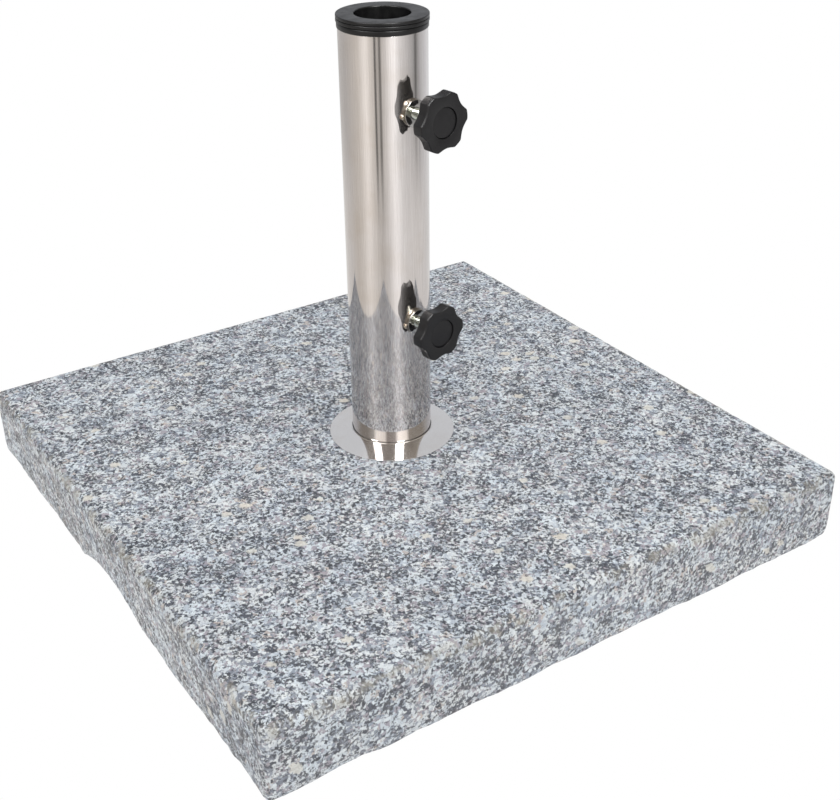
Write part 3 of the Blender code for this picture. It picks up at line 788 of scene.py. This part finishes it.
def threaded_rod(name, low, high, material):
    """M8 screw thread along Z, fading out into a chamfer at the inner end."""
    per_turn = 72
    form = bmesh.new()
    rows = []
    turns = (high - low) / THREAD_PITCH
    steps = int(turns * per_turn)
    # rings of one pitch are walked along the helix, so each column is a helix line
    for step in range(steps + 1):
        angle = math.tau * step / per_turn
        along = low + THREAD_PITCH * step / per_turn
        row = []
        for share, crest in THREAD_SHAPE:
            z = along + share * THREAD_PITCH
            fade = min(1.0, max(0.0, (z - low) / (1.5 * MM)))
            radius = THREAD_RADIUS - THREAD_DEPTH * (1 - crest) - 0.9 * MM * (1 - fade)
            z = min(z, high)
            row.append(form.verts.new((radius * math.cos(angle), radius * math.sin(angle), z)))
        rows.append(row)
    count = len(THREAD_SHAPE)
    for step in range(steps):
        for k in range(count - 1):
            form.faces.new((rows[step][k], rows[step + 1][k], rows[step + 1][k + 1], rows[step][k + 1]))
        turn_on = step + per_turn
        if turn_on <= steps - 1:
            form.faces.new((rows[step][-1], rows[step + 1][-1], rows[turn_on + 1][0], rows[turn_on][0]))
    bmesh.ops.recalc_face_normals(form, faces=form.faces)
    # the core that the thread stands on
    bmesh.ops.create_cone(
        form,
        cap_ends=True,
        segments=48,
        radius1=3.0 * MM,
        radius2=3.2 * MM,
        depth=high - low,
        matrix=Matrix.Translation((0, 0, (low + high) / 2)),
    )
    return add_object(name, form, material, 28)


def clamp_screw(prefix, steel):
    """Screw with a plain tip that carries the pressure pad and a hexagon head inside the knob."""
    face = FACE_DISTANCES[prefix]
    shoulder = face - SCREW_REACH
    head_front = face - SCREW_HEAD_SET_BACK
    head_back = head_front - SCREW_HEAD_THICKNESS
    rod = threaded_rod(f"{prefix}_screw_thread", shoulder, head_back + 0.5 * MM, steel)
    point_along_screw(rod, SCREW_HEIGHTS[prefix])
    place(rod, f"{prefix}_screw", f"{prefix}_clamp_screw")
    profile = [
        (AXIS_GAP, shoulder - 3 * MM),
        (SCREW_TIP_RADIUS, shoulder - 3 * MM),
        (SCREW_TIP_RADIUS, shoulder + 1 * MM),
        (AXIS_GAP, shoulder + 1 * MM),
    ]
    tip = turned(f"{prefix}_screw_tip", rounded(profile, (0, 0.5 * MM, 0, 0)), 64, steel)
    point_along_screw(tip, SCREW_HEIGHTS[prefix])
    place_beside(tip, f"{prefix}_screw")
    head = bmesh.new()
    bmesh.ops.create_cone(
        head,
        cap_ends=True,
        segments=6,
        radius1=SCREW_HEAD_RADIUS,
        radius2=SCREW_HEAD_RADIUS,
        depth=SCREW_HEAD_THICKNESS,
    )
    bolt_head = add_object(f"{prefix}_screw_head", head, steel, 28)
    bevel = bolt_head.modifiers.new("bevel", "BEVEL")
    bevel.width = 0.3 * MM
    bevel.segments = 3
    apply_modifiers(bolt_head)
    middle = Matrix.Translation((0, 0, (head_front + head_back) / 2))
    bolt_head.data.transform(middle @ Matrix.Rotation(math.pi / 6, 4, "Z"))
    point_along_screw(bolt_head, SCREW_HEIGHTS[prefix])
    place_beside(bolt_head, f"{prefix}_screw")


def star_radius(angle, scallop_angle):
    """Reach of the knob's outline: round lobes, finger scallops with slightly softened corners."""
    pitch = math.tau / KNOB_LOBES
    off = (angle - scallop_angle + pitch / 2) % pitch - pitch / 2
    scoop = 1 - (off / KNOB_SCALLOP_HALF_WIDTH) ** 2
    # a soft maximum with 0 takes the sharpness off the corners
    soft = (scoop + math.sqrt(scoop ** 2 + KNOB_CORNER_SOFTNESS ** 2)) / 2
    return KNOB_RADIUS - KNOB_SCALLOP_DEPTH * soft


def knob(prefix, plastic):
    """Star knob with a hub behind, and the cap that closes the recess in its face."""
    face = FACE_DISTANCES[prefix]
    back = face - KNOB_THICKNESS
    scallop = screw_side(SCALLOP_ANGLES[prefix])

    def star(inset, height):
        points = []
        for i in range(KNOB_SEGMENTS):
            angle = math.tau * i / KNOB_SEGMENTS
            reach = star_radius(angle, scallop) - inset
            points.append((reach * math.cos(angle), reach * math.sin(angle), height))
        return points

    def ring(radius, height):
        return circle_ring(radius, height, KNOB_SEGMENTS)

    rings = [
        ring(KNOB_BORE, back - 2.5 * MM),
        ring(KNOB_HUB_RADIUS - 0.6 * MM, back - 2.5 * MM),
        ring(KNOB_HUB_RADIUS - 0.15 * MM, back - 2.3 * MM),
        ring(KNOB_HUB_RADIUS, back - 1.9 * MM),
        ring(KNOB_HUB_RADIUS, back - 0.3 * MM),
        ring(KNOB_HUB_RADIUS + 0.3 * MM, back),
    ]
    front_round, back_round = 1.1 * MM, 0.9 * MM
    for i in range(6):
        angle = math.pi / 2 * i / 5
        height = back + back_round * (1 - math.cos(angle))
        rings.append(star(back_round * (1 - math.sin(angle)), height))
    for i in range(8):
        angle = math.pi / 2 * i / 7
        height = face - front_round * (1 - math.sin(angle))
        rings.append(star(front_round * (1 - math.cos(angle)), height))
    rings += [
        star(front_round + 0.25 * MM, face),
        ring(CAP_SEAT_RADIUS + 0.35 * MM, face),
        ring(CAP_SEAT_RADIUS + 0.1 * MM, face - 0.08 * MM),
        ring(CAP_SEAT_RADIUS, face - 0.3 * MM),
        ring(CAP_SEAT_RADIUS, face - CAP_SEAT_DEPTH),
        ring(KNOB_BORE, face - CAP_SEAT_DEPTH),
    ]
    made = add_object(f"{prefix}_star_knob", skin_rings(rings, True), plastic, 40)
    point_along_screw(made, SCREW_HEIGHTS[prefix])
    place(made, f"{prefix}_screw", f"{prefix}_knob")
    front = face - CAP_SET_BACK
    profile = [
        (AXIS_GAP, front - CAP_THICKNESS),
        (CAP_RADIUS, front - CAP_THICKNESS),
        (CAP_RADIUS, front),
        (AXIS_GAP, front),
    ]
    cap = turned(f"{prefix}_cap", rounded(profile, (0, 0, 0.35 * MM, 0), 5), 160, plastic)
    point_along_screw(cap, SCREW_HEIGHTS[prefix])
    place(cap, f"{prefix}_screw", f"{prefix}_knob_cap")


# Studio


def stage_mesh(name, form, material, mirrored_only):
    """A part of the studio: seen in reflections only, or by all but reflections."""
    obj = add_object(name, form, material, None)
    obj.visible_camera = not mirrored_only
    obj.visible_diffuse = not mirrored_only
    obj.visible_glossy = mirrored_only
    obj.visible_shadow = False
    obj.visible_transmission = False
    return obj


def grey(level, warm=0.0):
    return (level * (1 + warm), level * (1 + warm * 0.2), level * (1 - warm))


# Colours round the tube: (degrees to the right of the studio's front, colour)
NEAR_STOPS = [
    (-175, grey(0.94, 0.02)),
    (-112, grey(0.88, 0.03)),
    (-85, grey(0.82, 0.07)),
    (-50, grey(1.00, 0.05)),
    (-13, grey(0.74, 0.05)),
    (30, grey(1.10, 0.01)),
    (90, grey(1.05, 0.02)),
    (130, grey(0.94, 0.01)),
    (175, grey(0.94, 0.0)),
]
# the same, further out, with two dark gaps in front and one at the right
FAR_STOPS = [
    (-175, grey(0.74, 0.01)),
    (-112, grey(0.71, 0.03)),
    (-70, grey(0.88, 0.07)),
    (-45, grey(1.08, 0.06)),
    (-34, grey(0.85, 0.07)),
    (-25.0, grey(0.72, 0.07)),
    (-22.8, grey(0.08, 0.06)),
    (-20.0, grey(0.08, 0.06)),
    (-18.0, grey(0.62, 0.06)),
    (-13.5, grey(0.62, 0.06)),
    (-11.0, grey(0.20, 0.06)),
    (-8.5, grey(0.20, 0.06)),
    (-5.0, grey(0.78, 0.05)),
    (12, grey(1.02, 0.03)),
    (30, grey(1.19, 0.01)),
    (55, grey(0.97, 0.01)),
    (80, grey(0.55, 0.0)),
    (87, grey(0.16, 0.0)),
    (94, grey(0.50, 0.0)),
    (108, grey(0.80, -0.01)),
    (140, grey(1.05, -0.02)),
    (175, grey(0.85, -0.01)),
]


# the room's walls, with two tall lights
ROOM_STOPS = [
    (-175, (0.66, 0.675, 0.71)),
    (-125, (0.66, 0.675, 0.71)),
    (-95, (0.36, 0.335, 0.30)),
    (-54, (0.36, 0.335, 0.30)),
    (-44, (1.55, 1.50, 1.42)),
    (-22, (1.55, 1.50, 1.42)),
    (-13, (0.40, 0.36, 0.33)),
    (9, (0.40, 0.36, 0.33)),
    (17, (1.75, 1.70, 1.62)),
    (40, (1.75, 1.70, 1.62)),
    (50, (0.46, 0.43, 0.38)),
    (95, (0.46, 0.43, 0.38)),
    (125, (0.66, 0.675, 0.71)),
    (175, (0.66, 0.675, 0.71)),
]


CEILING_STOPS = [
    (-175, (0.66, 0.675, 0.71)),
    (-150, (0.66, 0.675, 0.71)),
    (-120, (0.32, 0.29, 0.26)),
    (-20, (0.32, 0.29, 0.26)),
    (60, (0.34, 0.31, 0.275)),
    (120, (0.46, 0.43, 0.38)),
    (145, (0.66, 0.675, 0.71)),
    (175, (0.66, 0.675, 0.71)),
]


def round_the_tube(g, *rows):
    """Colour ramps over the direction from the tube."""
    where = g.separate(g.millimetres())
    spin = g.math("ARCTAN2", where[1], where[0])
    away = g.math("SUBTRACT", spin, STUDIO_FRONT)
    # in turns, 0.5 at the front; whole turns are added to keep it positive
    turn = g.math("FRACT", g.math("MULTIPLY_ADD", away, 1 / math.tau, 0.5 + 4))
    return [g.ramp(turn, [(0.5 + degrees / 360, colour) for degrees, colour in stops]) for stops in rows]


def reflection_floor():
    """What the polished steel mirrors of the floor: a pale warm floor with dark gaps."""
    g = Graph("reflected_floor")
    near, far = round_the_tube(g, NEAR_STOPS, FAR_STOPS)
    distance = g.node("ShaderNodeVectorMath", {0: g.millimetres()}, operation="LENGTH").outputs["Value"]
    colour = g.mix(g.between(distance, 560.0, 1250.0), near, far)
    form = bmesh.new()
    bmesh.ops.create_circle(form, cap_ends=True, segments=96, radius=REFLECTED_FLOOR_RADIUS)
    floor = stage_mesh("reflected_floor", form, g.finish(g.glow(colour)), mirrored_only=True)
    floor.location = (0, 0, -1 * MM)


def reflection_dome():
    """What the steel mirrors of the room: a pale backdrop behind, a dim front with two tall lights."""
    g = Graph("reflected_room")
    walls, ceiling = round_the_tube(g, ROOM_STOPS, CEILING_STOPS)
    height = g.separate(g.millimetres())[2]
    colour = g.mix(g.between(height, 3100.0, 4300.0), walls, ceiling)
    form = bmesh.new()
    bmesh.ops.create_uvsphere(form, u_segments=48, v_segments=32, radius=REFLECTED_ROOM_RADIUS)
    stage_mesh("reflected_room", form, g.finish(g.glow(colour)), mirrored_only=True)


def area_light(name, power, size, azimuth, elevation, mirrored_only):
    """Softbox at this azimuth, counted from the studio's front to the right, aimed at the tube."""
    around = STUDIO_FRONT + math.radians(azimuth)
    up = math.radians(elevation)
    direction = Vector((math.cos(around) * math.cos(up), math.sin(around) * math.cos(up), math.sin(up)))
    lamp = bpy.data.lights.new(name, "AREA")
    lamp.shape = "RECTANGLE"
    lamp.size, lamp.size_y = size
    lamp.energy = power
    obj = bpy.data.objects.new(name, lamp)
    bpy.context.scene.collection.objects.link(obj)
    target = Vector((0, 0, 0.2))
    obj.location = target + direction * LIGHT_DISTANCE
    obj.rotation_mode = "QUATERNION"
    obj.rotation_quaternion = (-direction).to_track_quat("-Z", "Y")
    obj.visible_diffuse = not mirrored_only
    obj.visible_glossy = mirrored_only


def white_floor():
    """Plain white floor, clear from below so that the underside can be seen."""
    g = Graph("floor_white")
    white = g.glow((1, 1, 1, 1))
    clear = g.node("ShaderNodeBsdfTransparent")
    below = g.node("ShaderNodeNewGeometry").outputs["Backfacing"]
    either = g.node("ShaderNodeMixShader", {0: below, 1: white.outputs[0], 2: clear.outputs[0]})
    form = bmesh.new()
    bmesh.ops.create_circle(form, cap_ends=True, segments=96, radius=FLOOR_RADIUS)
    floor = stage_mesh("floor", form, g.finish(either), mirrored_only=False)
    floor.location = (0, 0, -0.5 * MM)


def studio():
    scene = bpy.context.scene
    world = bpy.data.worlds.new("studio_white")
    world.use_nodes = True
    background = world.node_tree.nodes["Background"]
    background.inputs["Color"].default_value = (1, 1, 1, 1)
    background.inputs["Strength"].default_value = 1.0
    scene.world = world
    white_floor()
    reflection_floor()
    reflection_dome()
    area_light("strip_left", 66, (0.64, 2.2), -56, 52, mirrored_only=True)
    area_light("strip_right", 98, (0.68, 2.2), 27, 52, mirrored_only=True)
    area_light("overhead", 7.4, (1.6, 1.6), 58, 60, mirrored_only=False)
    scene.view_settings.view_transform = "Standard"
    scene.view_settings.look = "None"


def camera():
    azimuth, elevation = math.radians(CAMERA_AZIMUTH), math.radians(CAMERA_ELEVATION)
    forward = Vector(
        (
            -math.sin(azimuth) * math.cos(elevation),
            math.cos(azimuth) * math.cos(elevation),
            -math.sin(elevation),
        )
    )
    right = Vector((math.cos(azimuth), math.sin(azimuth), 0))
    up = right.cross(forward)
    roll = math.radians(CAMERA_ROLL)
    right, up = right * math.cos(roll) + up * math.sin(roll), up * math.cos(roll) - right * math.sin(roll)
    lens = bpy.data.cameras.new("camera")
    lens.lens = CAMERA_LENS
    lens.sensor_width = SENSOR_WIDTH
    lens.clip_start = 0.05
    lens.clip_end = 60
    obj = bpy.data.objects.new("camera", lens)
    bpy.context.scene.collection.objects.link(obj)
    turn = Matrix((right, up, -forward)).transposed().to_4x4()
    obj.matrix_world = Matrix.Translation(CAMERA_PLACE) @ turn
    bpy.context.scene.camera = obj


def dress(node, material):
    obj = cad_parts[node]
    obj.data.materials.clear()
    obj.data.materials.append(material)


def main():
    tube_metal = tube_steel("tube_steel", (0.582, 0.552, 0.542), 0.06, 0.13, 0.010)
    disc_metal = tube_steel("rosette_steel", (0.80, 0.78, 0.765), 0.075, 0.03, 0.001, drawn=False)
    boss_metal = tube_steel("boss_steel", (0.42, 0.41, 0.40), 0.05, 0.03, 0.003, drawn=False)
    # darker plated metal for the bosses' sides: painted shade
    boss_side_painted_shade = plated_steel("boss_side_steel", (0.17, 0.15, 0.13), 0.3)
    zinc = plated_steel("zinc_plate")
    weld = weld_steel("weld_metal")
    granite_slab()
    stand_tube(tube_metal)
    rosette(disc_metal)
    reducer_sleeves()
    knob_plastic = black_plastic("knob_plastic", (0.0062, 0.0058, 0.0072), 0.42, 2.4, 0.03, wear=0.10)
    for prefix in ("upper", "lower"):
        boss(prefix, boss_metal, boss_side_painted_shade, weld)
        clamp_screw(prefix, zinc)
        knob(prefix, knob_plastic)
        dress(f"{prefix}_pressure_pad", nylon(f"{prefix}_pad_nylon"))
    for side in ("front_left", "front_right", "back_left", "back_right"):
        dress(f"rubber_pad_{side}", rubber(f"pad_rubber_{side}"))
    for node in ("anchor_bolt", "anchor_washer", "spring_washer"):
        dress(node, zinc)
    dress("tube_end_plug", mill_steel("plug_steel"))
    studio()
    camera()


main()
